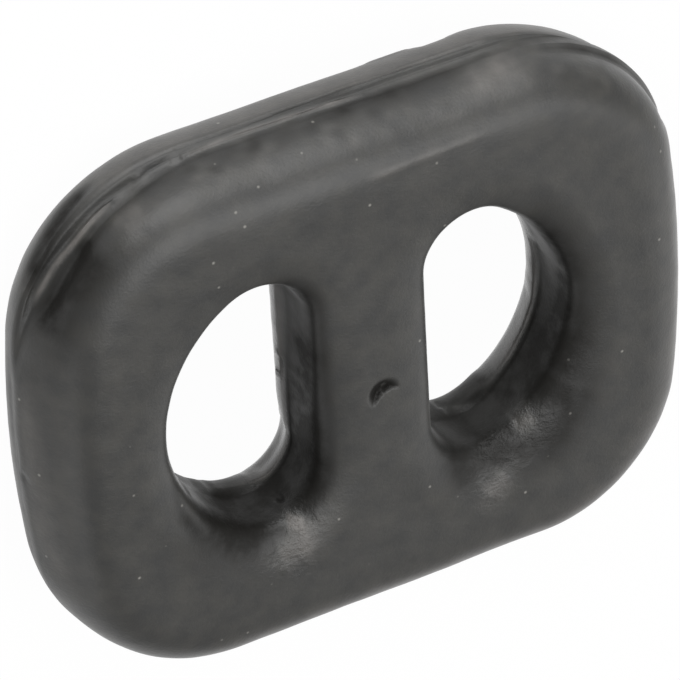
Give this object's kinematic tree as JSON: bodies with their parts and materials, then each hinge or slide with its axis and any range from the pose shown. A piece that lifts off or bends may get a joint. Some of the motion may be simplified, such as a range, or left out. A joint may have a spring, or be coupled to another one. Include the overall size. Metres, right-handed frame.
{
  "type": "exhaust hanger rubber",
  "caption": "Flat rounded rectangle of moulded black rubber with a bar between D-shaped holes, which loops over exhaust hanger hooks.",
  "frame": {"origin": "middle of the part's outline, on the plane of its back face", "axes": "+Z out of the front face, +X along the length across the two holes, +Y along the bar between the holes"},
  "size_m": [0.064, 0.053, 0.0114],
  "materials": {
    "rubber": "moulded, satin, faint dust"
  },
  "bodies": {
    "root": {"hanger_body": "rubber"}
  },
  "joints": []
}
